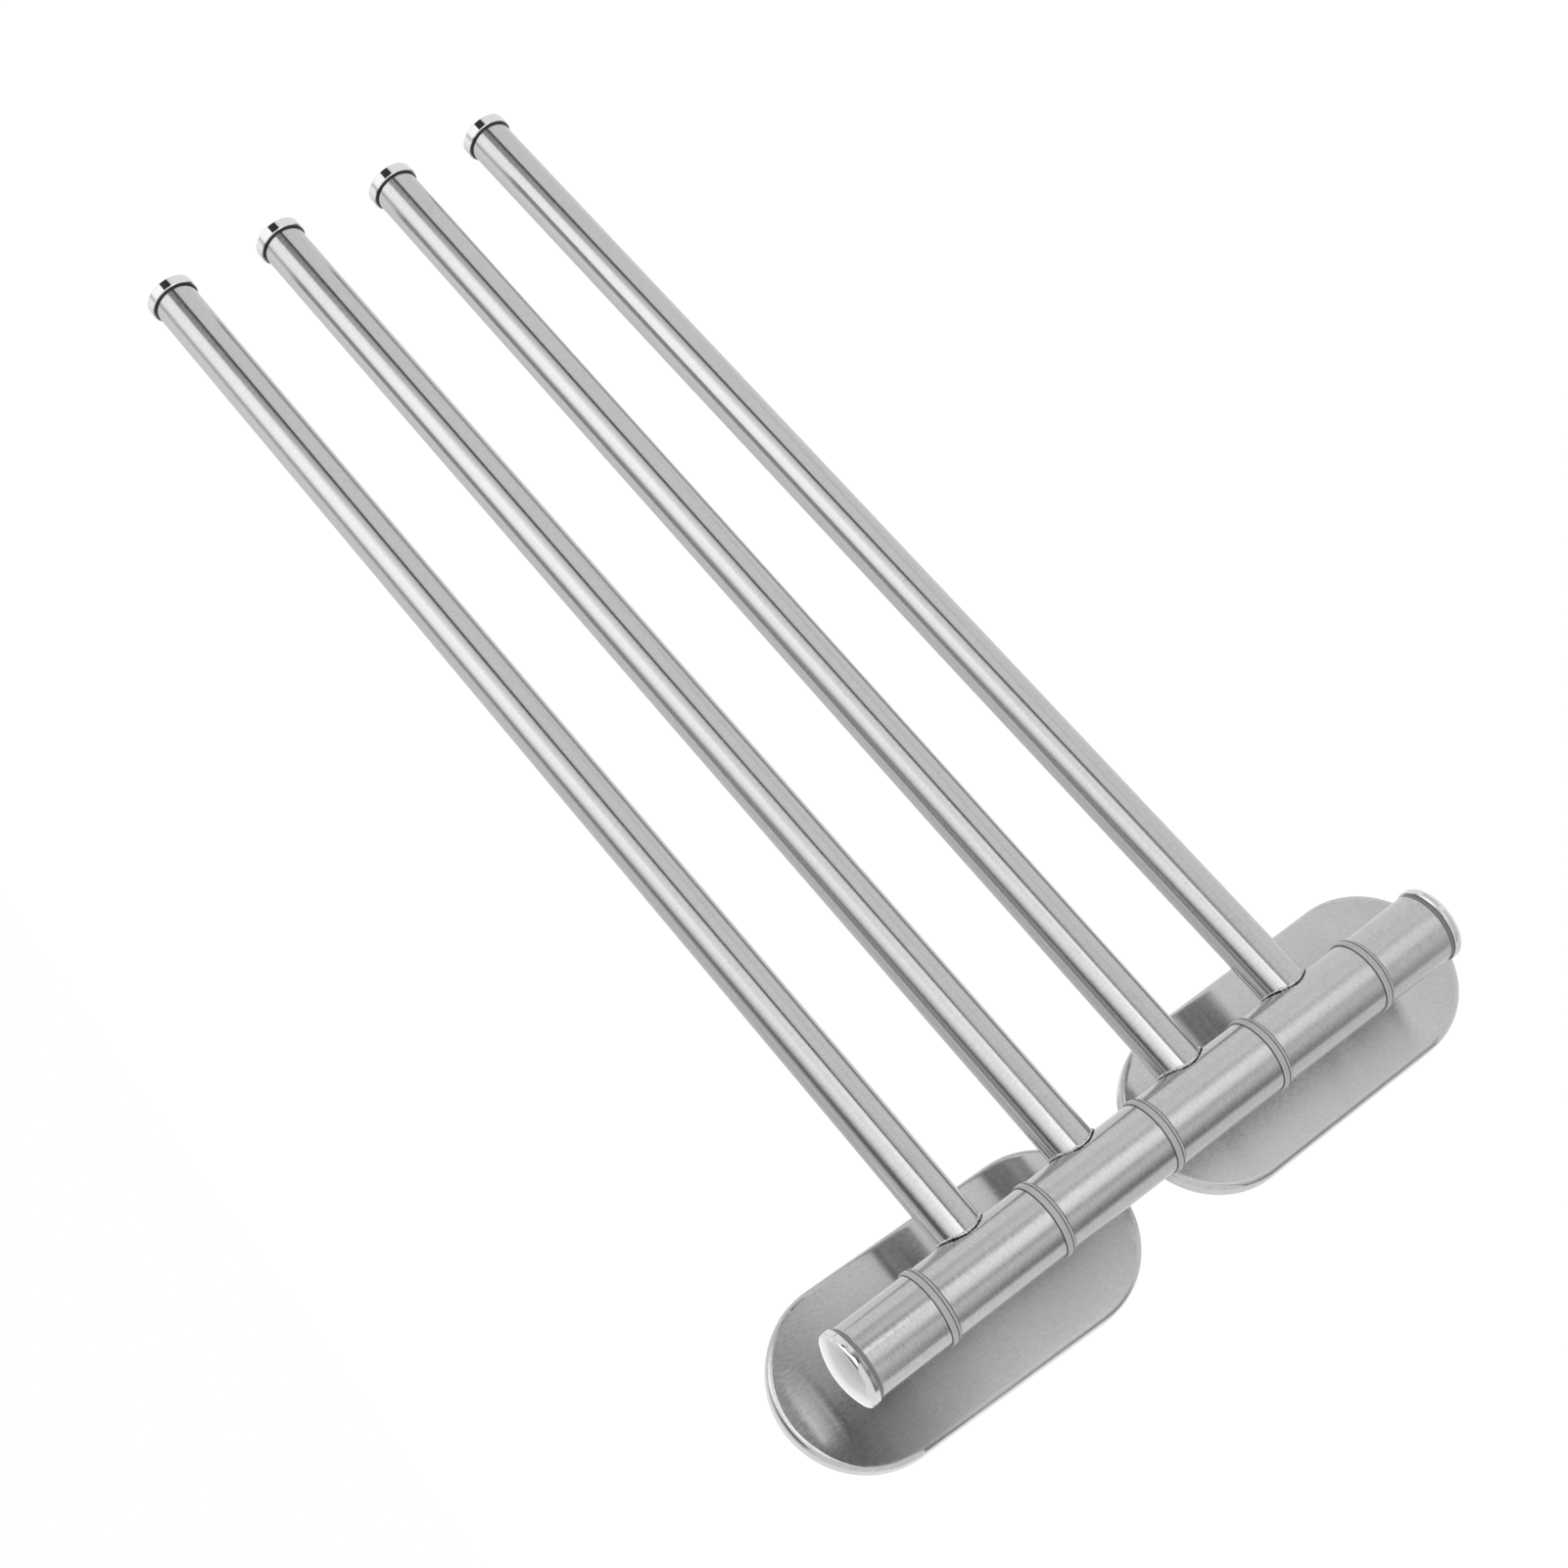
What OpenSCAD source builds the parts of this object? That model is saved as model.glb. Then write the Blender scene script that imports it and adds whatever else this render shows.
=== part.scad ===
// Swing arm towel bar with four arms, in millimetres.
// The hub stands upright along Z, in front of a wall that fills the plane Y = 0.
// X = 0 is under the hub, Z = 0 is the middle of the hub, and the arms point to +X.
// Numbered pieces count from the top: arm 1 is the highest.

/* [Hub] */
// Outside diameter of the hub's tubes
hub_d = 25; // [24:0.5:28]
// Wall of the hub's tubes
hub_wall = 1.5; // [1:0.1:1.8]
// Distance from the wall to the hub's axis
hub_offset = 38; // [34:0.5:60]
// Length of one swivel sleeve
sleeve_len = 42.15; // [39:0.05:60]
// Length of one fixed tube at the hub's ends
end_tube_len = 26.4; // [25:0.2:40]

/* [Spacer rings] */
// Diameter of the rim that shows between two tubes
spacer_d = 26.4; // [25.8:0.2:30]
// Thickness of that rim
spacer_t = 3.2; // [2:0.1:5]
// Length of the spigot on each side of a ring
spigot_len = 8; // [5:0.5:8.5]

/* [Arms] */
// Outside diameter of an arm
arm_d = 16.4; // [13:0.2:18]
// Wall of an arm's tube
arm_wall = 1.2; // [0.8:0.1:2]
// Distance from the hub's axis to the end of an arm's tube
arm_reach = 445.9; // [250:0.1:600]
// Height of an arm's axis above the middle of its sleeve
arm_lift = 0.4; // [0:0.1:1]
// How much shorter the third arm is
arm_3_short = 5.3; // [0:0.1:20]
// Angle by which arm 1 is turned toward the wall
arm_1_angle = 2.1; // [-3:0.1:3]
// Angle by which arm 2 is turned toward the wall
arm_2_angle = 2.1; // [-3:0.1:3]
// Angle by which arm 3 is turned toward the wall
arm_3_angle = 1.5; // [-3:0.1:3]
// Angle by which arm 4 is turned toward the wall
arm_4_angle = 2.5; // [-3:0.1:3]

/* [Arm caps] */
// Diameter of an arm's cap
arm_cap_d = 18.6; // [18.2:0.2:22]
// Length of the cap beyond the tube
arm_cap_len = 4; // [3:0.1:10]
// Height of the dome on the cap
arm_dome_h = 1; // [0.5:0.1:2]
// Diameter of the plug's flange, under the cap
arm_flange_d = 17.6; // [17:0.1:18]
// Thickness of that flange
arm_flange_t = 0.4; // [0.3:0.1:1]
// Length of the plug inside the tube
arm_plug_len = 10; // [5:0.5:25]
// Diameter of the pin that holds the cap on the plug
arm_pin_d = 8; // [5:0.5:10]

/* [Hub caps] */
// Diameter of a hub cap's rim
hub_cap_d = 26.4; // [25.8:0.2:30]
// Height of that rim's straight side
hub_cap_rim = 1.7; // [1:0.1:5]
// Radius of the shoulder between the rim and the dome
hub_cap_shoulder = 1.6; // [0.6:0.1:1.9]
// Height of the dome above the straight side
dome_h = 4.2; // [2.6:0.1:8]
// Diameter of the ring under the rim
cap_ring_d = 24.6; // [24:0.1:25.6]
// Thickness of that ring
cap_ring_t = 1.4; // [1:0.05:3]
// Length of a cap's skirt inside the tube
cap_skirt_len = 8; // [4:0.5:8]

/* [Pivot rod] */
// Diameter of the rod through the hub
rod_d = 8; // [6:0.5:8]
// Width across the flats of a nut
nut_flats = 13; // [12:0.5:14]
// Height of a nut
nut_h = 6.5; // [5:0.1:7]
// Thickness of a spring washer
washer_t = 2; // [1:0.1:2.2]
// Thickness of the disc that closes a fixed tube
disc_t = 3; // [2:0.1:3.5]

/* [Wall posts] */
// Outside diameter of a post
post_d = 16; // [15:0.5:21]
// Wall of a post's tube
post_wall = 1.5; // [1:0.1:2]
// Diameter of a grub screw
grub_d = 4; // [3:0.5:5]

/* [Covers] */
// Width of a cover
cover_w = 61.3; // [54:0.1:80]
// Depth of a cover, out from the wall
cover_depth = 6.4; // [6:0.1:10]
// Thickness of a cover's sheet
cover_wall = 1.2; // [0.8:0.1:1.5]
// Radius of a cover's outer edge
cover_edge_r = 2; // [1.6:0.1:3]
// Distance between the two covers at the middle of the hub
cover_between = 14.2; // [8:0.1:40]
// How far a cover reaches past its post's axis
cover_past_post = 34.7; // [25:0.1:60]
// Angle by which the upper cover sits turned
cover_1_angle = 1.95; // [-2:0.05:2]
// How far the lower cover sits to the side
cover_2_shift = 2.2; // [-2.2:0.1:2.2]

/* [Wall brackets] */
// Thickness of a bracket's plate
bracket_t = 3; // [2:0.1:4]
// Distance from a bracket's edge to the inside of its cover
bracket_inset = 4.5; // [3.5:0.1:8]
// Length of the stub that carries the post
stub_len = 16; // [12:0.5:18]
// Distance between the two screw holes of a bracket
screw_spread = 28; // [20:0.5:34]
// Diameter of a screw hole
screw_hole_d = 5; // [3.5:0.1:6]
// Diameter of a screw hole's countersink
screw_head_d = 9; // [8:0.1:10]

/* [Hidden] */
$fn = 96;

// Clearances
running_gap = 0.05; // radial, between a spigot and the sleeve that turns on it
weld_gap = 0.05; // between two curved faces that a weld joins
end_float = 0.05; // between a sleeve's end and a spacer ring
hole_gap = 0.3; // radial, round a rod or a post that passes through
overrun = 1; // how far a cut goes past the face that it opens

// Small forms
edge_break = 0.3; // chamfer on turned edges
arm_shoulder = 0.5; // rounding of an arm cap's outer edge
cap_wall = 1.5; // wall of a hub cap's skirt
ring_groove_w = 0.4; // width of the groove round a spacer's rim
ring_groove_h = 0.35; // depth of that groove
ring_groove_drop = 0.4; // how far it lies below the middle of the rim
ring_fall = 0.3; // how much narrower, in radius, the rim gets below the groove
disc_past_spigot = 2.5; // from the end of a spacer's spigot to the end disc
rod_past_nut = 1.5; // what shows of the rod beyond a nut
washer_over = 0.9; // how far a spring washer reaches past the nut's flats, in radius
washer_slit = 1.2; // width of the slit in a spring washer
grub_past_cover = 5; // from a cover's face to a grub screw's axis
grub_len = 5; // length of a grub screw
grub_sunk = 0.4; // how far a grub screw lies below the post's surface
hex_key = 2; // width across the flats of its socket
hex_depth = 1.6; // depth of its socket

// Hub stack
arm_count = 4;
hub_r = hub_d / 2;
bore_r = hub_r - hub_wall;
spigot_r = bore_r - running_gap;
pitch = sleeve_len + spacer_t + 2 * end_float;
tube_start = arm_count / 2 * pitch + spacer_t / 2;
tube_end = tube_start + end_tube_len;
post_z = tube_start + end_tube_len / 2;
disc_start = tube_start + spigot_len + disc_past_spigot;
washer_start = disc_start + disc_t;
nut_start = washer_start + washer_t;
rod_end = nut_start + nut_h + rod_past_nut;
rod_bore_r = rod_d / 2 + hole_gap;

// Arms
arm_r = arm_d / 2;
arm_bore_r = arm_r - arm_wall;
arm_angles = [arm_1_angle, arm_2_angle, arm_3_angle, arm_4_angle];
arm_ends = [arm_reach, arm_reach, arm_reach - arm_3_short, arm_reach];

// Caps
rim_start = tube_end + cap_ring_t;
arm_pin_len = arm_cap_len / 2;

// Wall side
post_r = post_d / 2;
stub_r = post_r - post_wall - running_gap;
cover_start = cover_between / 2;
cover_end = post_z + cover_past_post;
cover_z = (cover_start + cover_end) / 2;
cover_r = cover_w / 2;
cover_straight = cover_end - cover_start - cover_w;
bracket_r = cover_r - cover_wall - bracket_inset;
grub_out = cover_depth + grub_past_cover;

function sleeve_z(i) = ((arm_count + 1) / 2 - i) * pitch;
function spacer_z(i) = (arm_count / 2 + 1 - i) * pitch;

// Places a piece that is drawn round the hub's axis
module on_hub() {
    translate([0, -hub_offset, 0]) children();
}

// Places a piece that is drawn on the wall: its XY plane is the wall and its Z points to the room
module on_wall() {
    rotate([90, 0, 0]) children();
}

// Leaves a piece at the upper end, or mirrors it to the lower end
module at_end(upper) {
    if (upper) children();
    else mirror([0, 0, 1]) children();
}

// Solid of revolution: a disc between two heights with broken edges
module turned_disc(r, z0, z1, edge) {
    rotate_extrude() polygon([
        [0, z0], [r - edge, z0], [r, z0 + edge],
        [r, z1 - edge], [r - edge, z1], [0, z1]
    ]);
}

// A tube between two heights, with its outer edges broken
module turned_tube(r_out, r_in, z0, z1) {
    rotate_extrude() polygon([
        [r_in, z0], [r_out - edge_break, z0], [r_out, z0 + edge_break],
        [r_out, z1 - edge_break], [r_out - edge_break, z1], [r_in, z1]
    ]);
}

// A plain tube between two heights
module tube(r_out, r_in, z0, z1) {
    difference() {
        translate([0, 0, z0]) cylinder(r = r_out, h = z1 - z0);
        translate([0, 0, z0 - overrun]) cylinder(r = r_in, h = z1 - z0 + 2 * overrun);
    }
}

// Half section with one corner rounded, at the outside and the far end
module rounded_corner(r, depth, edge) {
    square([r - edge, depth]);
    square([r, depth - edge]);
    translate([r - edge, depth - edge]) circle(r = edge);
}

// Half section of a cap's head: a straight side, a round shoulder, and a crown that runs on from it
module crowned_half(r, side, shoulder, crown) {
    flat_r = r - shoulder;
    ball_r = (flat_r * flat_r + crown * crown - shoulder * shoulder) / (2 * (crown - shoulder));
    ball_z = side + crown - ball_r;
    lean = atan2(side - ball_z, flat_r);
    reach = 2 * ball_r;
    polygon([[0, 0], [r - edge_break, 0], [r, edge_break], [r, side], [0, side]]);
    intersection() {
        translate([flat_r, side]) circle(r = shoulder);
        square([r, side + crown]);
    }
    intersection() {
        translate([0, ball_z]) circle(r = ball_r);
        polygon([[0, ball_z], [reach * cos(lean), ball_z + reach * sin(lean)], [0, ball_z + reach]]);
        square([r, side + crown]);
    }
}

// Domed cap at the end of the hub: a hollow skirt in the tube, and a head
module hub_cap(upper) {
    color("whitesmoke") on_hub() at_end(upper) difference() {
        union() {
            translate([0, 0, rim_start]) rotate_extrude()
                crowned_half(hub_cap_d / 2, hub_cap_rim, hub_cap_shoulder, dome_h);
            translate([0, 0, tube_end - cap_skirt_len])
                cylinder(r = spigot_r, h = cap_skirt_len + cap_ring_t + hub_cap_rim / 2);
        }
        translate([0, 0, tube_end - cap_skirt_len - overrun])
            cylinder(r = spigot_r - cap_wall, h = cap_skirt_len + overrun);
    }
}

// Thin ring between a fixed tube and the rim of its cap
module cap_ring(upper) {
    color("dimgray") on_hub() at_end(upper)
        tube(cap_ring_d / 2, bore_r, tube_end, rim_start);
}

// Fixed tube at the end of the hub, which its post carries
module end_tube(upper) {
    color("silver") on_hub() at_end(upper)
        turned_tube(hub_r, bore_r, tube_start, tube_end);
}

// Disc welded across a fixed tube, which takes the pull of the rod
module end_disc(upper) {
    color("gray") on_hub() at_end(upper)
        tube(bore_r - weld_gap, rod_bore_r, disc_start, washer_start);
}

// Split washer that keeps the stack pressed together
module spring_washer(upper) {
    color("dimgray") on_hub() at_end(upper) difference() {
        tube(nut_flats / 2 + washer_over, rod_bore_r, washer_start, nut_start);
        translate([0, -washer_slit / 2, washer_start - overrun])
            cube([nut_flats, washer_slit, washer_t + 2 * overrun]);
    }
}

// Hexagon nut on the end of the rod
module rod_nut(upper) {
    color("darkgray") on_hub() at_end(upper) difference() {
        intersection() {
            translate([0, 0, nut_start]) cylinder(d = nut_flats / cos(180 / 6), h = nut_h, $fn = 6);
            turned_disc(nut_flats / 2 / cos(180 / 6), nut_start, nut_start + nut_h, 2 * edge_break);
        }
        translate([0, 0, nut_start - overrun])
            cylinder(r = rod_d / 2 + running_gap, h = nut_h + 2 * overrun);
    }
}

// Rod that all the rings and sleeves are threaded on
module pivot_rod() {
    color("lightgray") on_hub() turned_disc(rod_d / 2, -rod_end, rod_end, 2 * edge_break);
}

// Ring of nylon between two tubes: a spigot into each of them, and a rim that tapers below its groove
module spacer(i) {
    rim_half = spacer_t / 2;
    tip = rim_half + spigot_len;
    rim_r = spacer_d / 2;
    groove_r = rim_r - ring_groove_h;
    groove_top = ring_groove_w / 2 - ring_groove_drop;
    groove_low = groove_top - ring_groove_w;
    low_r = rim_r - ring_fall;
    color("darkgray") on_hub() translate([0, 0, spacer_z(i)]) rotate_extrude() polygon([
        [rod_bore_r, -tip], [spigot_r - edge_break, -tip], [spigot_r, edge_break - tip],
        [spigot_r, -rim_half], [low_r - edge_break / 2, -rim_half], [low_r, edge_break / 2 - rim_half],
        [rim_r, groove_low], [groove_r, groove_low + ring_groove_w / 4],
        [groove_r, groove_top - ring_groove_w / 4], [rim_r, groove_top],
        [rim_r, rim_half - edge_break], [rim_r - edge_break, rim_half], [spigot_r, rim_half],
        [spigot_r, tip - edge_break], [spigot_r - edge_break, tip], [rod_bore_r, tip]
    ]);
}

// Puts an arm's pieces in place: drawn along Z from the hub's axis, they end up along +X
module along_arm(i) {
    on_hub() translate([0, 0, sleeve_z(i) + arm_lift])
        rotate([0, 0, arm_angles[i - 1]]) rotate([0, 90, 0]) children();
}

// Sleeve that turns on two spigots and carries an arm
module sleeve(i) {
    color("silver") difference() {
        on_hub() translate([0, 0, sleeve_z(i)])
            turned_tube(hub_r, bore_r, -sleeve_len / 2, sleeve_len / 2);
        along_arm(i) cylinder(r = arm_r + weld_gap, h = hub_r + overrun);
    }
}

// Arm tube, cut to the bore of its sleeve at the hub's end
module arm(i) {
    color("silver") difference() {
        along_arm(i) tube(arm_r, arm_bore_r, 0, arm_ends[i - 1]);
        on_hub() translate([0, 0, sleeve_z(i) - sleeve_len / 2])
            cylinder(r = bore_r, h = sleeve_len);
    }
}

// Plug pressed into the end of an arm, with a flange over the tube's edge and a pin for the cap
module arm_plug(i) {
    plug_r = arm_bore_r - running_gap;
    color("black") along_arm(i) translate([0, 0, arm_ends[i - 1]]) rotate_extrude() polygon([
        [0, -arm_plug_len], [plug_r - edge_break, -arm_plug_len], [plug_r, edge_break - arm_plug_len],
        [plug_r, 0], [arm_flange_d / 2, 0], [arm_flange_d / 2, arm_flange_t],
        [arm_pin_d / 2, arm_flange_t], [arm_pin_d / 2, arm_pin_len - edge_break],
        [arm_pin_d / 2 - edge_break, arm_pin_len], [0, arm_pin_len]
    ]);
}

// Cap at the end of an arm, pressed on the plug's pin
module arm_cap(i) {
    pin_hole_r = arm_pin_d / 2 + running_gap;
    color("whitesmoke") along_arm(i) translate([0, 0, arm_ends[i - 1]]) difference() {
        translate([0, 0, arm_flange_t]) rotate_extrude()
            crowned_half(arm_cap_d / 2, arm_cap_len - arm_flange_t, arm_shoulder, arm_dome_h);
        translate([0, 0, arm_flange_t - overrun])
            cylinder(r = pin_hole_r, h = arm_pin_len - arm_flange_t + overrun + end_float);
    }
}

// Tube between the hub and the wall, shaped to the hub's tube at its end
module post(upper) {
    color("silver") difference() {
        at_end(upper) translate([0, 0, post_z]) on_wall()
            tube(post_r, post_r - post_wall, bracket_t, hub_offset);
        on_hub() at_end(upper) translate([0, 0, tube_start - overrun])
            cylinder(r = hub_r + weld_gap, h = end_tube_len + 2 * overrun);
        grub_hole(upper);
    }
}

// Space of a grub screw, from below a post to the middle of its stub
module grub_hole(upper) {
    at_post_under(upper) cylinder(d = grub_d + 2 * running_gap, h = post_r + overrun);
}

// Puts Z = 0 on a post's axis, with Z pointing down
module at_post_under(upper) {
    translate([0, -grub_out, upper ? post_z : -post_z]) rotate([180, 0, 0]) children();
}

// Screw with a hexagon socket that holds a post on its stub, from below
module grub_screw(upper) {
    head = post_r - grub_sunk;
    color("dimgray") at_post_under(upper) difference() {
        turned_disc(grub_d / 2, head - grub_len, head, edge_break);
        translate([0, 0, head - hex_depth])
            cylinder(d = hex_key / cos(180 / 6), h = hex_depth + overrun, $fn = 6);
    }
}

// Outline of a cover or a bracket: a straight middle with round ends
module oblong(r, straight) {
    square([2 * r, straight], center = true);
    for (end = [-1, 1]) translate([0, end * straight / 2]) circle(r = r);
}

// Plate screwed to the wall, with the stub that carries a post
module bracket(upper) {
    color("gray") difference() {
        at_end(upper) union() {
            on_wall() translate([0, cover_z]) linear_extrude(bracket_t)
                oblong(bracket_r, cover_straight);
            translate([0, 0, post_z]) on_wall() turned_disc(stub_r, 0, bracket_t + stub_len, edge_break);
        }
        at_end(upper) translate([0, 0, cover_z]) on_wall()
            for (side = [-1, 1]) translate([side * screw_spread / 2, 0, 0]) screw_hole();
        grub_hole(upper);
    }
}

// Countersunk hole for a wall screw
module screw_hole() {
    sink_h = (screw_head_d - screw_hole_d) / 2;
    translate([0, 0, -overrun]) cylinder(d = screw_hole_d, h = bracket_t + 2 * overrun);
    translate([0, 0, bracket_t - sink_h])
        cylinder(d1 = screw_hole_d, d2 = screw_head_d + 2 * overrun, h = sink_h + overrun);
}

// Oblong body whose front edge is rounded all round
module rounded_oblong(r, straight, depth, edge) {
    for (end = [0, 1]) rotate([0, 0, 180 * end]) {
        translate([0, straight / 2, 0]) rotate_extrude(angle = 180) intersection() {
            rounded_corner(r, depth, edge);
            square([r, depth]);
        }
        translate([0, straight / 2, 0]) rotate([90, 0, 0]) linear_extrude(straight) intersection() {
            rounded_corner(r, depth, edge);
            square([r, depth]);
        }
    }
}

// Pressed cover that hides a bracket, drawn round its own centre
module cover_shell() {
    difference() {
        rounded_oblong(cover_r, cover_straight, cover_depth, cover_edge_r);
        translate([0, 0, -overrun]) rounded_oblong(
            cover_r - cover_wall, cover_straight,
            cover_depth - cover_wall + overrun, cover_edge_r - cover_wall
        );
    }
}

// Cover on its post: the hole stays round the post, however the cover sits
module cover(upper) {
    color("lightgray") difference() {
        at_end(upper) translate([upper ? 0 : cover_2_shift, 0, cover_z])
            rotate([0, upper ? cover_1_angle : 0, 0]) on_wall() cover_shell();
        at_end(upper) translate([0, 0, post_z]) on_wall()
            cylinder(r = post_r + hole_gap, h = cover_depth + overrun);
    }
}

hub_cap(true);  // hub_cap_upper
hub_cap(false);  // hub_cap_lower
cap_ring(true);  // cap_ring_upper
cap_ring(false);  // cap_ring_lower
end_tube(true);  // end_tube_upper
end_tube(false);  // end_tube_lower
end_disc(true);  // end_disc_upper
end_disc(false);  // end_disc_lower
spring_washer(true);  // spring_washer_upper
spring_washer(false);  // spring_washer_lower
rod_nut(true);  // rod_nut_upper
rod_nut(false);  // rod_nut_lower
pivot_rod();
post(true);  // post_upper
post(false);  // post_lower
grub_screw(true);  // grub_screw_upper
grub_screw(false);  // grub_screw_lower
bracket(true);  // bracket_upper
bracket(false);  // bracket_lower
cover(true);  // cover_upper
cover(false);  // cover_lower
for (i = [1 : arm_count + 1]) {
    spacer(i);
}
for (i = [1 : arm_count]) {
    sleeve(i);
    arm(i);
    arm_plug(i);
    arm_cap(i);
}
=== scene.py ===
import math

import bmesh
import bpy
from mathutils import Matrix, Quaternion, Vector, noise as wobble


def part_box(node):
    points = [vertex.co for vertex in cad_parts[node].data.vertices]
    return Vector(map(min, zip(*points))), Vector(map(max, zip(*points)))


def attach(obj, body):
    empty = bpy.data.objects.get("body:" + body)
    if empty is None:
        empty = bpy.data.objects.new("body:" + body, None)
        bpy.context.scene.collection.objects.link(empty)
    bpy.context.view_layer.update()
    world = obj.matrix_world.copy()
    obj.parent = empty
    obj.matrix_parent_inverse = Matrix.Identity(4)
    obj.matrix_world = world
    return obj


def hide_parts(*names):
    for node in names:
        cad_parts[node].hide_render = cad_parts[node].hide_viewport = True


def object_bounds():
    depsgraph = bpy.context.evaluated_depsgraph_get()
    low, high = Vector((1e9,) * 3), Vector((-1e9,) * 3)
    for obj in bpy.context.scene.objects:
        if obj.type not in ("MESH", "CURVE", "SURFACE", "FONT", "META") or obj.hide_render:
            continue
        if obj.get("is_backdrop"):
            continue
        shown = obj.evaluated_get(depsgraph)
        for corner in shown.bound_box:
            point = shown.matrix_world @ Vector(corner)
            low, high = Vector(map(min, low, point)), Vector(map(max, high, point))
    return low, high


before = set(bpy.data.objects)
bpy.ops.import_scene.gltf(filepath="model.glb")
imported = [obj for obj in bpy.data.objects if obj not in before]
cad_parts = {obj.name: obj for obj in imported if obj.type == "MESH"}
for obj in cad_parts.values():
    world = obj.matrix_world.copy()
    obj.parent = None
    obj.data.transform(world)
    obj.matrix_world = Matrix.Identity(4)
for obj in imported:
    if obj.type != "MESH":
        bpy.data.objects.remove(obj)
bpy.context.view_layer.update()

MM = 0.001
X, Y, Z = Vector((1, 0, 0)), Vector((0, 1, 0)), Vector((0, 0, 1))
ARMS = (1, 2, 3, 4)
ENDS = {"upper": 1, "lower": -1}


# Sizes read from the frame


def middle(node):
    """The middle of a node's box."""
    low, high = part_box(node)
    return (low + high) / 2


def half_size(node, axis):
    """Half a node's size along an axis: 0 for X, 1 for Y, 2 for Z."""
    low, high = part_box(node)
    return (high - low)[axis] / 2


HUB = middle("pivot_rod")
HUB_R = half_size("sleeve_1", 1)
ARM_R = half_size("arm_1", 2)
POST_R = half_size("post_upper", 2)


def arm_way(i):
    """The horizontal direction in which arm i lies at rest."""
    way = middle(f"arm_cap_{i}") - HUB
    way.z = 0
    return way.normalized()


def arm_foot(i):
    """The point on the hub's axis where arm i starts."""
    return Vector((HUB.x, HUB.y, middle(f"arm_{i}").z))


# Colours and nodes


def srgb(code):
    """A hex colour as linear red, green, blue and alpha."""
    channels = [int(code[i : i + 2], 16) / 255 for i in (1, 3, 5)]
    linear = [c / 12.92 if c <= 0.04045 else ((c + 0.055) / 1.055) ** 2.4 for c in channels]
    return (*linear, 1)


def add(tree, kind, sockets=None, **fields):
    """Adds a node. sockets gives each input a value or another node's output; fields are its settings."""
    node = tree.nodes.new("ShaderNode" + kind)
    for name, value in fields.items():
        setattr(node, name, value)
    for key, value in (sockets or {}).items():
        if isinstance(value, bpy.types.NodeSocket):
            tree.links.new(value, node.inputs[key])
        else:
            node.inputs[key].default_value = value
    return node


def surface(name, colour, roughness, metallic=0, **sockets):
    """A material with its constants on the shader's own sockets."""
    material = bpy.data.materials.new(name)
    material.use_nodes = True
    shader = material.node_tree.nodes["Principled BSDF"]
    shader.inputs["Base Color"].default_value = srgb(colour)
    shader.inputs["Roughness"].default_value = roughness
    shader.inputs["Metallic"].default_value = metallic
    for socket, value in sockets.items():
        shader.inputs[socket.replace("_", " ")].default_value = value
    return material, material.node_tree, shader


def noise(tree, size_mm, detail=2.0):
    """Noise whose blotches measure size_mm along the object's X, Y and Z."""
    position = add(tree, "TexCoord").outputs["Object"]
    scale = [1 / (size * MM) for size in size_mm]
    scaled = add(tree, "Mapping", {"Vector": position, "Scale": scale}).outputs["Vector"]
    return add(tree, "TexNoise", {"Vector": scaled, "Scale": 1, "Detail": detail}).outputs["Fac"]


def spread(tree, value, low, high, start=0.3, end=0.7):
    """Stretches a noise value from start to end onto low to high."""
    sockets = {"Value": value, "From Min": start, "From Max": end, "To Min": low, "To Max": high}
    return add(tree, "MapRange", sockets).outputs["Result"]


def tint(tree, shader, colour, value, low, high, start=0.3, end=0.7):
    """Lets a value that runs from start to end scale the base colour by low to high."""
    shade = spread(tree, value, low, high, start, end)
    toned = add(tree, "VectorMath", {0: srgb(colour)[:3], "Scale": shade}, operation="SCALE")
    tree.links.new(toned.outputs["Vector"], shader.inputs["Base Color"])


def dull(tree, shader, value, low, high):
    """Lets a noise value vary the roughness."""
    tree.links.new(spread(tree, value, low, high), shader.inputs["Roughness"])


def grooves(tree, shader, value, depth_mm):
    """Lets a noise value raise and lower the surface by depth_mm."""
    bump = add(tree, "Bump", {"Height": value, "Strength": 1, "Distance": depth_mm * MM})
    tree.links.new(bump.outputs["Normal"], shader.inputs["Normal"])


# Materials


def brushed_steel(name, colour, roughness, stretch, along, stroke_mm, tone, depth_mm):
    """Stainless steel 304, brushed with a belt: fine strokes, across which highlights are drawn out.
    along is the direction of that drawing out. stroke_mm is a stroke's size along X, Y and Z, about three
    times as coarse as the real 180 grit, which is too fine to show here."""
    material, tree, shader = surface(name, colour, roughness, metallic=1, Anisotropic=stretch)
    strokes = noise(tree, stroke_mm)
    vary = 0.1
    tint(tree, shader, colour, strokes, 1 - tone, 1 + tone)
    dull(tree, shader, strokes, roughness * (1 - vary), roughness * (1 + vary))
    grooves(tree, shader, strokes, depth_mm)
    spin = {"vector_type": "VECTOR", "convert_from": "OBJECT", "convert_to": "WORLD"}
    turned = add(tree, "VectorTransform", {"Vector": along}, **spin)
    tree.links.new(turned.outputs["Vector"], shader.inputs["Tangent"])
    return material


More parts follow.
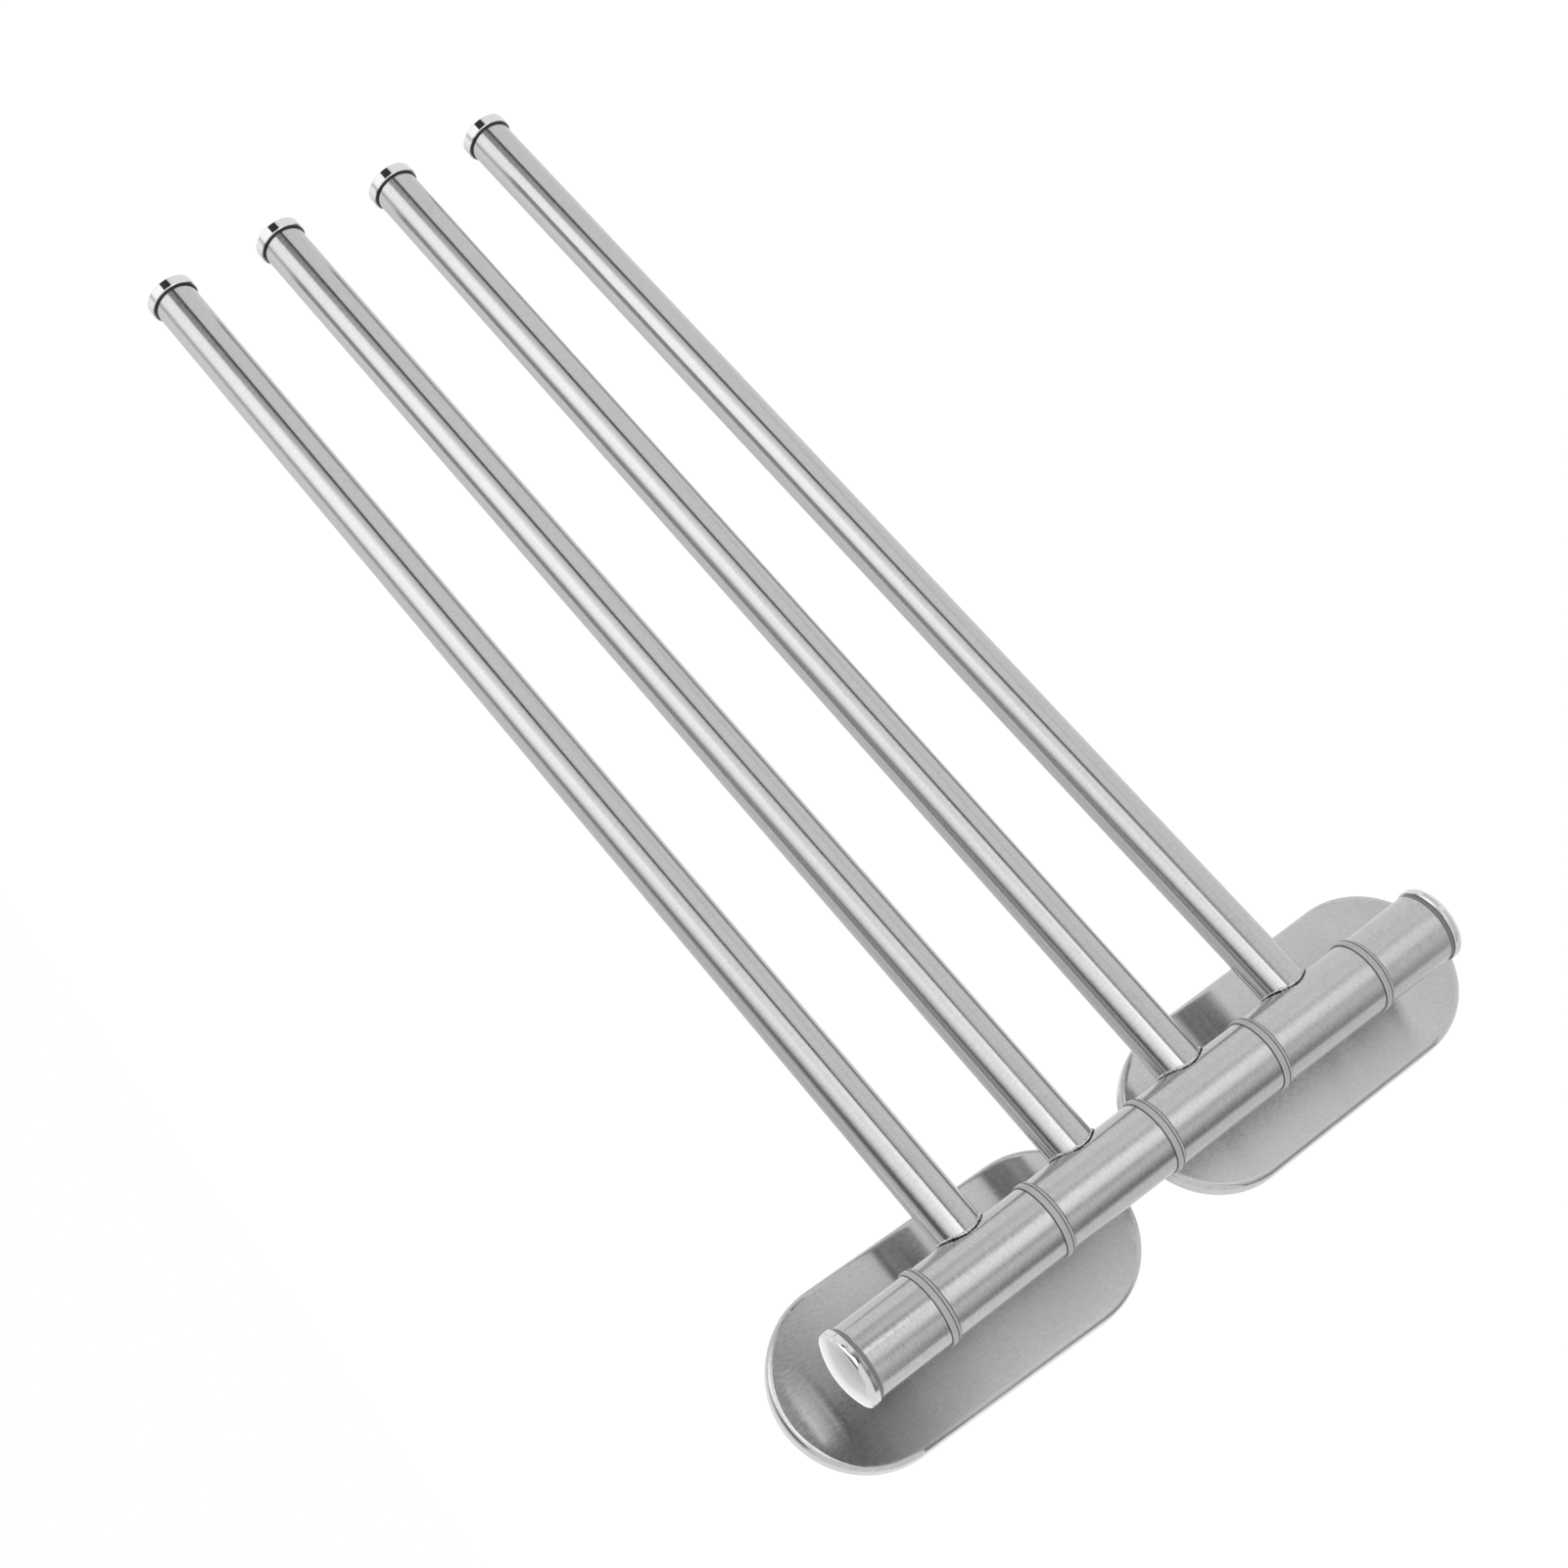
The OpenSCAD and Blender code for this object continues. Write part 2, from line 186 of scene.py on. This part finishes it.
def sleeken_edges(material):
    """Makes a cover's rounded edge smoother than its flat face, which the belt reaches better. facing is 1 on
    the flat face and falls as the edge turns away."""
    smoothest, turned_away, nearly_flat = 0.4, 0.75, 0.98
    tree = material.node_tree
    shader = tree.nodes["Principled BSDF"]
    brushed = shader.inputs["Roughness"].links[0].from_socket
    facing = add(tree, "SeparateXYZ", {"Vector": add(tree, "TexCoord").outputs["Normal"]}).outputs["Y"]
    flat = add(tree, "Math", {0: facing}, operation="ABSOLUTE").outputs[0]
    share = spread(tree, flat, smoothest, 1, start=turned_away, end=nearly_flat)
    both = add(tree, "Math", {0: brushed, 1: share}, operation="MULTIPLY").outputs[0]
    tree.links.new(both, shader.inputs["Roughness"])


def polished_steel():
    """Stainless steel, turned and buffed to a mirror: clear reflections, with a breath of haze from handling."""
    material, tree, shader = surface("buffed_stainless_steel", "#D4D4D4", 0.06, metallic=1)
    dull(tree, shader, noise(tree, (3, 3, 3)), 0.04, 0.09)
    return material


def turned_nylon():
    """Grey nylon 6, turned from rod: a satin shine with fine rings from the tool, and painted shade that darkens its
    grooves and corners by ambient occlusion.
    """
    colour, darkest_shade, shade_reach = "#A8A8A8", 0.35, 1.0 * MM
    material, tree, shader = surface("turned_grey_nylon", colour, 0.35, IOR=1.53)
    turning = noise(tree, (8, 8, 0.15))
    dull(tree, shader, turning, 0.28, 0.42)
    grooves(tree, shader, turning, 0.006)
    # Painted shade: the colour darkens where ambient occlusion finds surfaces close by, in the grooves and corners
    open_sky = add(tree, "AmbientOcclusion", {"Distance": shade_reach}, samples=8).outputs["AO"]
    tint(tree, shader, colour, open_sky, darkest_shade, 1, start=0.3, end=0.95)
    return material


def moulded_plastic(name, colour):
    """Moulded acetal: smooth, with the dull shine of a fine spark-eroded mould."""
    material, tree, shader = surface(name, colour, 0.4, IOR=1.48)
    dull(tree, shader, noise(tree, (0.4, 0.4, 0.4)), 0.34, 0.48)
    return material


def zinc_steel():
    """Mild steel with bright zinc plating: a cool, slightly cloudy grey."""
    colour = "#B6BABF"
    material, tree, shader = surface("zinc_plated_steel", colour, 0.32, metallic=1)
    cloud = noise(tree, (4, 4, 4), detail=4)
    tint(tree, shader, colour, cloud, 0.85, 1.1)
    dull(tree, shader, cloud, 0.25, 0.42)
    return material


def black_oxide():
    """Alloy steel with black oxide: near black, with a faint oily shine."""
    material, tree, shader = surface("black_oxide_steel", "#17181A", 0.38, metallic=1)
    dull(tree, shader, noise(tree, (0.5, 0.5, 0.5)), 0.3, 0.48)
    return material


def weld_metal(name, colour):
    """Stainless steel weld metal: the bead is brushed bright, and the near-black copy along its toe is painted shade
    for the shaded crevice beside the bead.
    """
    material, tree, shader = surface(name, colour, 0.2, metallic=1)
    grain = noise(tree, (0.6, 0.6, 0.6))
    tint(tree, shader, colour, grain, 0.5, 1.2)
    dull(tree, shader, grain, 0.12, 0.32)
    return material


# The tubes' steel, and a darker copy of it on the posts behind the hub, which are also brushed less smoothly. The
# darker colour is painted shade for the dark gap the posts sit in
STEEL, SHADED_STEEL = "#B9B9B9", "#8E8E8E"

# Brush strokes in millimetres: width on arms, posts and covers, width on the hub, and length
FINE, FINEST, LONG = 0.6, 0.45, 2.0
ARM_AXIS = sum((arm_way(i) for i in ARMS), Vector()).normalized()

hub_steel = brushed_steel("hub_tube_brushed_round", STEEL, 0.2, 0.93, Z, (LONG, LONG, FINEST), 0.09, 0.005)
arm_steel = brushed_steel("arm_tube_brushed_round", STEEL, 0.16, 0.93, ARM_AXIS, (FINE, LONG, LONG), 0.05, 0.002)
# Painted shade: the posts get the darker copy of the tubes' steel
post_steel = brushed_steel("post_tube_brushed_round", SHADED_STEEL, 0.25, 0.9, Y, (LONG, FINE, LONG), 0.04, 0.0008)
cover_steel = brushed_steel("cover_sheet_brushed_lengthwise", "#BDBDBD", 0.23, 1.0, X, (FINE, LONG, LONG), 0.07, 0.006)
sleeken_edges(cover_steel)
mirror_steel = polished_steel()
bead_steel = weld_metal("stainless_weld_bead", "#CFCFCF")
# Painted shade: near-black weld metal for the line along each weld's toe, where the crevice is shaded
crevice_shade_steel = weld_metal("painted_crevice_shade", "#353433")
zinc = zinc_steel()

FINISHES = {
    "hub_cap": mirror_steel,
    "arm_cap": mirror_steel,
    "arm_plug": moulded_plastic("moulded_black_acetal", "#101011"),
    "cap_ring": moulded_plastic("moulded_grey_acetal", "#767676"),
    "spacer": turned_nylon(),
    "sleeve": hub_steel,
    "end_tube": hub_steel,
    "arm": arm_steel,
    "post": post_steel,
    "cover": cover_steel,
    "grub_screw": black_oxide(),
    "end_disc": zinc,
    "spring_washer": zinc,
    "rod_nut": zinc,
    "pivot_rod": zinc,
    "bracket": zinc,
}


def dress(node, piece):
    """Gives a CAD piece the finish whose name starts the node's name, the longest one that fits."""
    kind = max((k for k in FINISHES if node.startswith(k)), key=len)
    piece.data.materials.clear()
    piece.data.materials.append(FINISHES[kind])


for node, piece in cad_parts.items():
    dress(node, piece)


# New pieces

SHARP_EDGE = math.radians(35)


def place(mesh, name, material, body):
    """Makes an object of a bmesh, shaded smooth up to its edges, and lets it ride on a body."""
    bmesh.ops.recalc_face_normals(mesh, faces=mesh.faces)
    data = bpy.data.meshes.new(name)
    mesh.to_mesh(data)
    mesh.free()
    data.shade_smooth()
    data.set_sharp_from_angle(angle=SHARP_EDGE)
    data.materials.append(material)
    piece = bpy.data.objects.new(name, data)
    bpy.context.scene.collection.objects.link(piece)
    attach(piece, body)
    return piece


def bridge(mesh, rings, closed):
    """Joins each ring of vertices to the next one with faces, and the last to the first where closed."""
    count = len(rings[0])
    for k, ring in enumerate(rings if closed else rings[:-1]):
        after = rings[(k + 1) % len(rings)]
        for j in range(count):
            mesh.faces.new((ring[j], ring[(j + 1) % count], after[(j + 1) % count], after[j]))


def lathe(name, foot, way, profile, body):
    """A turned piece of mirror steel. profile lists (distance along way from foot, radius) in metres."""
    turns = 192
    side = way.orthogonal().normalized()
    other = way.cross(side)
    mesh = bmesh.new()
    rings = []
    for along, radius in profile:
        centre = foot + way * along
        angles = [2 * math.pi * k / turns for k in range(turns)]
        rings.append([mesh.verts.new(centre + (side * math.cos(a) + other * math.sin(a)) * radius) for a in angles])
    bridge(mesh, rings, closed=False)
    mesh.faces.new(rings[0])
    mesh.faces.new(rings[-1])
    return place(mesh, name, mirror_steel, body)


def arc(centre, radius, start, end, steps):
    """Points (along, radius) on an arc, with angles in degrees from the way's direction outward."""
    angles = [math.radians(start + (end - start) * k / steps) for k in range(steps + 1)]
    return [(centre[0] + radius * math.cos(a), centre[1] + radius * math.sin(a)) for a in angles]


def crown(start, radius, side, shoulder, height, chamfer=0.3 * MM):
    """Profile of a cap's head: from the middle of its crown over the shoulder and down the straight side. It
    starts pole degrees from the middle, where lathe closes it with a small face."""
    pole, top_steps, turn_steps = 0.3, 40, 14
    flat = radius - shoulder
    ball = (flat**2 + height**2 - shoulder**2) / (2 * (height - shoulder))
    ball_at = start + side + height - ball
    lean = math.degrees(math.atan2(flat, start + side - ball_at))
    top = arc((ball_at, 0), ball, pole, lean, top_steps)
    turn = arc((start + side, flat), shoulder, lean, 90, turn_steps)
    return top + turn[1:] + [(start + chamfer, radius), (start, radius - chamfer)]


def hub_cap(end):
    """The hub's cap with its skirt, turned more finely than the CAD's facets."""
    way = Z * ENDS[end]
    low, high = sorted(abs(corner.z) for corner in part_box(f"hub_cap_{end}"))
    rim = max(abs(corner.z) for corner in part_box(f"cap_ring_{end}"))
    tube = max(abs(corner.z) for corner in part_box(f"end_tube_{end}"))
    skirt, wall, side, shoulder = 10.95 * MM, 1.5 * MM, 1.7 * MM, 1.6 * MM
    bore = skirt - wall
    head = crown(rim, half_size(f"hub_cap_{end}", 0), side, shoulder, high - rim - side)
    inside = [(rim, skirt), (low, skirt), (low, bore), (tube, bore)]
    piece = lathe(f"turned_hub_cap_{end}", Vector((HUB.x, HUB.y, 0)), way, head + inside, "hub")
    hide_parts(f"hub_cap_{end}")


def arm_cap(i):
    """An arm's cap, turned more finely than the CAD's facets."""
    foot, way = arm_foot(i), arm_way(i)
    reach = [(corner - foot).dot(way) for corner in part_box(f"arm_cap_{i}")]
    radius, side, shoulder, height = half_size(f"arm_cap_{i}", 2), 3.6 * MM, 0.5 * MM, 1.0 * MM
    top = max(reach) - radius * abs(way.y)
    start = top - side - height
    pin, pin_end = 4.05 * MM, 1.65 * MM
    profile = crown(start, radius, side, shoulder, height) + [(start, pin), (start + pin_end, pin)]
    piece = lathe(f"turned_arm_cap_{i}", foot, way, profile, f"swing_arm_{i}")
    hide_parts(f"arm_cap_{i}")


def weld_bead(name, body, foot, way, tube_r, rise, thick, material, ripple, seed):
    """A bead along the saddle where a tube of radius tube_r leaves the hub. foot is the point on the hub's axis,
    way the tube's direction, rise how far the bead climbs the tube, thick its radius and ripple the share by
    which it swells. It swells in even pulses round the seam and in random lumps, so many to a metre."""
    side = way.cross(Z)
    steps, sides, nudge = 192, 8, 0.01
    pulses, lumps = 40, 420

    def saddle(turn):
        across, up = tube_r * math.cos(turn), tube_r * math.sin(turn)
        return foot + way * (math.sqrt(HUB_R**2 - across**2) + rise) + side * across + Z * up

    mesh = bmesh.new()
    rings = []
    for step in range(steps):
        turn = 2 * math.pi * step / steps
        centre = saddle(turn)
        ahead = (saddle(turn + nudge) - saddle(turn - nudge)).normalized()
        out = (centre - foot).normalized()
        out = (out - ahead * out.dot(ahead)).normalized()
        beside = ahead.cross(out)
        rough = wobble.noise(centre * lumps + X * seed)
        swell = thick * (1 + ripple * (0.5 * math.sin(pulses * turn) + 2 * rough))
        angles = [2 * math.pi * k / sides for k in range(sides)]
        rings.append([mesh.verts.new(centre + (out * math.cos(a) + beside * math.sin(a)) * swell) for a in angles])
    bridge(mesh, rings, closed=True)
    return place(mesh, name, material, body)


def weld(name, body, foot, way, tube_r, seed):
    """A bright bead with the dark line of its toe beside it. That dark line is painted shade, standing in for the
    shaded crevice there.
    """
    bead_rise, bead_r, bead_ripple = 0.4 * MM, 0.5 * MM, 0.3
    toe_r, toe_ripple, toe_seed = 0.24 * MM, 0.9, seed + 7
    toe_at = tube_r + 0.4 * MM
    weld_bead(f"{name}_bead", body, foot, way, tube_r, bead_rise, bead_r, bead_steel, bead_ripple, seed)
    # The toe line is painted shade: dark metal where the crevice beside the bead is shaded
    weld_bead(f"{name}_toe", body, foot, way, toe_at, 0, toe_r, crevice_shade_steel, toe_ripple, toe_seed)


POST_SEED = 9

for i in ARMS:
    weld(f"arm_weld_{i}", f"swing_arm_{i}", arm_foot(i), arm_way(i), ARM_R, i)
    arm_cap(i)
for end in ENDS:
    post_foot = Vector((HUB.x, HUB.y, middle(f"post_{end}").z))
    weld(f"post_weld_{end}", "hub", post_foot, Y, POST_R, POST_SEED)
    hub_cap(end)


# Studio: a white tent, in which curved silks and flags show as stripes on the tubes


def sheet(name, rows, lights, material):
    """A sheet through rows of points, with a light level at each point."""
    count = len(rows[0])
    points = [tuple(point) for row in rows for point in row]
    faces = [
        (k * count + j, k * count + j + 1, (k + 1) * count + j + 1, (k + 1) * count + j)
        for k in range(len(rows) - 1)
        for j in range(count - 1)
    ]
    data = bpy.data.meshes.new(name)
    data.from_pydata(points, [], faces)
    level = data.attributes.new("light", "FLOAT", "POINT")
    level.data.foreach_set("value", [value for row in lights for value in row])
    data.materials.append(material)
    piece = bpy.data.objects.new(name, data)
    bpy.context.scene.collection.objects.link(piece)
    piece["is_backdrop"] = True
    return piece


def lit_cloth(name, one_sided=False):
    """Diffusion cloth that glows by the light level of each point; at 0 it is a black flag. One-sided cloth is
    clear when seen from its back."""
    material = bpy.data.materials.new(name)
    material.use_nodes = True
    tree = material.node_tree
    tree.nodes.clear()
    level = add(tree, "Attribute", attribute_name="light").outputs["Fac"]
    shader = add(tree, "Emission", {"Color": (1, 1, 1, 1), "Strength": level})
    if one_sided:
        clear = add(tree, "BsdfTransparent").outputs[0]
        back = add(tree, "NewGeometry").outputs["Backfacing"]
        shader = add(tree, "MixShader", {0: back, 1: shader.outputs[0], 2: clear})
    add(tree, "OutputMaterial", {"Surface": shader.outputs[0]})
    return material


cloth = lit_cloth("lit_diffusion_cloth")


def silk(name, axis, radius, stations, edges):
    """A curved cloth round the X axis (angles from +Y through +Z) or round the Z axis (from +X through +Y).
    stations are places along the axis. Each edge has its angles and its light levels there."""
    first, second = (Y, Z) if axis is X else (X, Y)
    rows, lights = [], []
    for angles, levels in edges:
        row = []
        for station, angle in zip(stations, angles):
            turn = math.radians(angle)
            row.append(HUB + (first * math.cos(turn) + second * math.sin(turn)) * radius + axis * station)
        rows.append(row)
        lights.append(levels)
    sheet(name, rows, lights, cloth).visible_camera = False


# Radii of the tent round the arms and the hub, and of the cards just inside the hub's
ARM_TENT_R, HUB_TENT_R, RIM_CARD_R = 1.6, 0.5, 0.49

# Places along X, in metres, at which each edge of the arms' silks has an angle and a light level
ARM_STATIONS = (-0.3, 0.27, 0.88, 1.42, 1.5, 2.3)

# From behind the wall's plane up over the arms: their grey side, their dark line and their broad highlight
silk(
    "overhead_silk",
    X,
    ARM_TENT_R,
    ARM_STATIONS,
    (
        ((-6, -6, -6, -6, -6, -6), (0.65, 0.65, 0.75, 0.8, 0.8, 0.8)),
        ((12, 12, 12, 12, 12, 12), (0.7, 0.7, 0.8, 0.9, 0.9, 0.9)),
        ((24, 24, 24, 24, 24, 24), (0.8, 0.78, 0.95, 1.0, 1.0, 1.0)),
        ((46, 46, 46, 46, 46, 46), (0.78, 0.68, 0.97, 1.12, 1.12, 1.12)),
        ((56, 56, 56, 56, 56, 56), (0.5, 0.7, 0.98, 1.18, 1.18, 1.18)),
        ((71, 71, 71, 69, 69, 69), (0.85, 0.85, 1.0, 1.25, 1.25, 1.25)),
        ((84, 84, 81, 77, 77, 77), (0.7, 0.7, 0.6, 1.05, 1.05, 1.05)),
        ((94, 94, 86, 84, 84, 84), (0.15, 0.15, 0.3, 0.82, 0.82, 0.82)),
        ((109, 109, 92, 90, 90, 90), (0.05, 0.05, 0.5, 0.76, 0.76, 0.76)),
        ((118, 118, 100, 98, 98, 98), (0.5, 0.5, 1.12, 1.55, 1.3, 1.3)),
        ((129, 129, 116, 107, 107, 107), (1.05, 1.05, 1.68, 2.0, 1.4, 1.4)),
        ((142, 142, 140, 138, 138, 138), (1.42, 1.42, 1.84, 2.12, 1.42, 1.42)),
        ((152, 152, 150, 151, 152, 152), (1.5, 1.5, 1.25, 1.6, 1.4, 1.4)),
    ),
)

# In front of the arms: the rest of the highlight, then a black flag. The caps' black squares are its last columns
silk(
    "front_silk",
    X,
    ARM_TENT_R,
    ARM_STATIONS,
    (
        ((152, 152, 150, 151, 152, 152), (1.5, 1.5, 1.25, 2.3, 0.05, 0.05)),
        ((159, 159, 157, 159, 159, 159), (1.5, 1.5, 1.15, 1.7, 0.05, 0.05)),
        ((168, 168, 167, 170, 170, 170), (2.05, 2.05, 1.0, 1.45, 0.05, 0.05)),
        ((179, 179, 173, 177, 177, 177), (2.0, 2.0, 0.7, 1.25, 0.05, 0.05)),
        ((184, 184, 178, 181, 181, 181), (0.0, 0.0, 0.05, 0.5, 0.05, 0.05)),
        ((197, 190, 182, 188, 188, 188), (0.0, 0.0, 0.1, 0.0, 0.0, 0.0)),
        ((204, 196, 188, 195, 195, 195), (0.95, 0.95, 0.95, 0.85, 0.85, 0.85)),
    ),
)

# Heights, in metres, at which each edge of the hub's silk has an angle and a light level
HUB_STATIONS = (0.01, -0.035, -0.16, -0.28, -0.41)

# From the hub's right side, past a dark band, to the highlight before it. The covers' faces show its last edges
silk(
    "hub_silk",
    Z,
    HUB_TENT_R,
    HUB_STATIONS,
    (
        ((100, 100, 100, 100, 100), (1.0, 1.0, 0.88, 0.88, 0.88)),
        ((163, 163, 165, 165, 161), (1.0, 1.1, 0.9, 0.9, 0.85)),
        ((171, 171, 177, 175, 169), (0.2, 0.33, 0.26, 0.36, 0.5)),
        ((180, 180, 186, 184, 177), (0.2, 0.35, 0.23, 0.3, 0.45)),
        ((192, 192, 197, 194, 192), (0.2, 0.65, 0.44, 0.45, 0.62)),
        ((203, 203, 210, 209, 204), (0.2, 0.93, 0.78, 0.73, 0.75)),
        ((217, 217, 217, 217, 217), (0.15, 0.96, 0.9, 0.82, 0.8)),
        ((229, 229, 230, 230, 230), (0.1, 0.5, 0.72, 0.82, 0.8)),
        ((235, 235, 235, 235, 235), (0.1, 0.86, 0.76, 0.82, 0.88)),
        ((244, 244, 244, 244, 244), (0.1, 1.45, 1.22, 1.15, 1.05)),
        ((256, 256, 256, 256, 256), (0.1, 1.66, 1.5, 1.32, 1.2)),
        ((267, 267, 268, 268, 266), (0.15, 1.5, 1.45, 1.36, 1.2)),
        ((277, 277, 278, 278, 276), (0.3, 0.66, 1.05, 1.0, 0.86)),
        ((286, 286, 286, 286, 286), (0.5, 0.58, 0.85, 0.8, 0.95)),
        ((293, 293, 293, 293, 293), (0.7, 0.8, 0.95, 1.0, 1.1)),
    ),
)


def upright_card(name, radius, heights, lights):
    """A card round the Z axis between two heights, with a light level at each of its angles."""
    silk(name, Z, radius, heights, [((angle, angle), (level, level)) for angle, level in lights.items()])


# A bright card that the upper cap's dome shows by way of the cover, and grey ones for the lower cap's rim
RIM_GREY = 0.68
RIM_HEIGHTS = (-0.405, -0.432)
upright_card("dome_card", HUB_TENT_R, (0.3, 0.03), {268: 2.8, 276: 3.4, 279: 2.6, 281: 1.5})
upright_card("rim_card_left", RIM_CARD_R, RIM_HEIGHTS, dict.fromkeys(range(286, 350, 10), RIM_GREY))
upright_card("rim_card_right", RIM_CARD_R, RIM_HEIGHTS, dict.fromkeys(range(184, 270, 14), RIM_GREY))


def white_floor():
    """A table of lit white acrylic: it looks as white as the background and still takes a soft shadow."""
    drop, size = 0.3, 6.0
    lamp_glow, eye_glow, grey = 0.2, 0.65, (0.4, 0.4, 0.4, 1)
    material = bpy.data.materials.new("lit_white_acrylic")
    material.use_nodes = True
    tree = material.node_tree
    tree.nodes.clear()
    rays = add(tree, "LightPath").outputs
    seen = add(tree, "Math", {0: rays["Is Camera Ray"], 1: rays["Is Glossy Ray"]}, operation="ADD").outputs[0]
    glow = add(tree, "MapRange", {"Value": seen, "To Min": lamp_glow, "To Max": eye_glow}).outputs["Result"]
    shine = add(tree, "Emission", {"Color": (1, 1, 1, 1), "Strength": glow})
    matte = add(tree, "BsdfDiffuse", {"Color": grey})
    both = add(tree, "AddShader", {0: shine.outputs[0], 1: matte.outputs[0]})
    add(tree, "OutputMaterial", {"Surface": both.outputs[0]})
    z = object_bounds()[0].z - drop
    rows = [[Vector((x, y, z)) for x in (-size, size)] for y in (-size, size)]
    sheet("floor", rows, ((0, 0), (0, 0)), material)


def white_world():
    """The tent's own cloth, as a plain white world."""
    world = bpy.data.worlds.new("white_tent")
    bpy.context.scene.world = world
    world.use_nodes = True
    background = world.node_tree.nodes["Background"]
    background.inputs["Color"].default_value = (1, 1, 1, 1)
    background.inputs["Strength"].default_value = 1


# Cards near the upper cap: heights in millimetres from the upper cover's end, with the light levels there
COVER_SHADE = (
    (-5, 0.2),
    (-16, 0.2),
    (-22, 0.27),
    (-28, 0.38),
    (-34, 0.43),
    (-40, 0.49),
    (-46, 0.57),
    (-52, 0.64),
    (-64, 0.76),
    (-80, 0.82),
    (-130, 0.84),
)
DOME_SKY = (
    (-20, 1.3),
    (-17, 1.3),
    (-14, 1.12),
    (-4, 1.16),
    (0, 1.06),
    (5, 0.94),
    (10, 0.87),
    (18, 0.86),
    (26, 0.8),
    (54, 0.68),
)
TABLE_EDGE = ((-20, 1.05), (12, 1.05))


def card(name, depth, edges, table, material, shares=(1, 1)):
    """An upright card at a place along Y, which the camera doesn't see. table gives its heights and light
    levels, edges its places along X and shares the part of the level that each edge has."""
    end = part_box("cover_upper")[1].z
    rows = [[Vector((x, depth, end + height * MM)) for x in edges] for height, _ in table]
    lights = [[share * level for share in shares] for _, level in table]
    sheet(name, rows, lights, material).visible_camera = False


white_floor()
white_world()
one_sided_cloth = lit_cloth("one_sided_cloth", one_sided=True)

# Lit white paper behind the end of the upper cover, which the cover's edge and the cap's dome show
EDGE_DEPTH, EDGE_SPAN = 3 * MM, (-60 * MM, 60 * MM)
card("table_edge", EDGE_DEPTH, EDGE_SPAN, TABLE_EDGE, cloth)

# Grey behind the hub's right half, dark at its upper end and paler outward, which only the cover shows
SHADE_DEPTH, SHADE_SPAN, SHADE_SHARES = -20 * MM, (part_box("cover_upper")[0].x, -0.6 * HUB_R), (1.28, 0.74)
card("cover_shade", SHADE_DEPTH, SHADE_SPAN, COVER_SHADE, one_sided_cloth, SHADE_SHARES)

# Pale grey over the upper cap, which only its dome shows
SKY_DEPTH, SKY_SPAN = -12 * MM, (-18 * MM, 24 * MM)
card("dome_sky", SKY_DEPTH, SKY_SPAN, DOME_SKY, one_sided_cloth)


# Camera: the photograph's view, rolled so that the hub runs up to the right. Places in metres, roll in degrees

CAMERA_AT = Vector((-0.10964, -0.82763, 0.32835))
CAMERA_AIM = Vector((0.16280, -0.03800, 0.01768))
CAMERA_ROLL = -123.587
SENSOR_MM = 36
LENS_MM = 62.916


def set_camera():
    """A camera at the photograph's place, with its lens."""
    data = bpy.data.cameras.new("photo_view")
    data.sensor_width = SENSOR_MM
    data.lens = LENS_MM
    camera = bpy.data.objects.new("photo_view", data)
    bpy.context.scene.collection.objects.link(camera)
    camera.rotation_mode = "QUATERNION"
    camera.location = CAMERA_AT
    level = (CAMERA_AIM - CAMERA_AT).to_track_quat("-Z", "Y")
    camera.rotation_quaternion = level @ Quaternion(Z, math.radians(CAMERA_ROLL))
    bpy.context.scene.camera = camera


set_camera()
bpy.context.scene.view_settings.view_transform = "Standard"
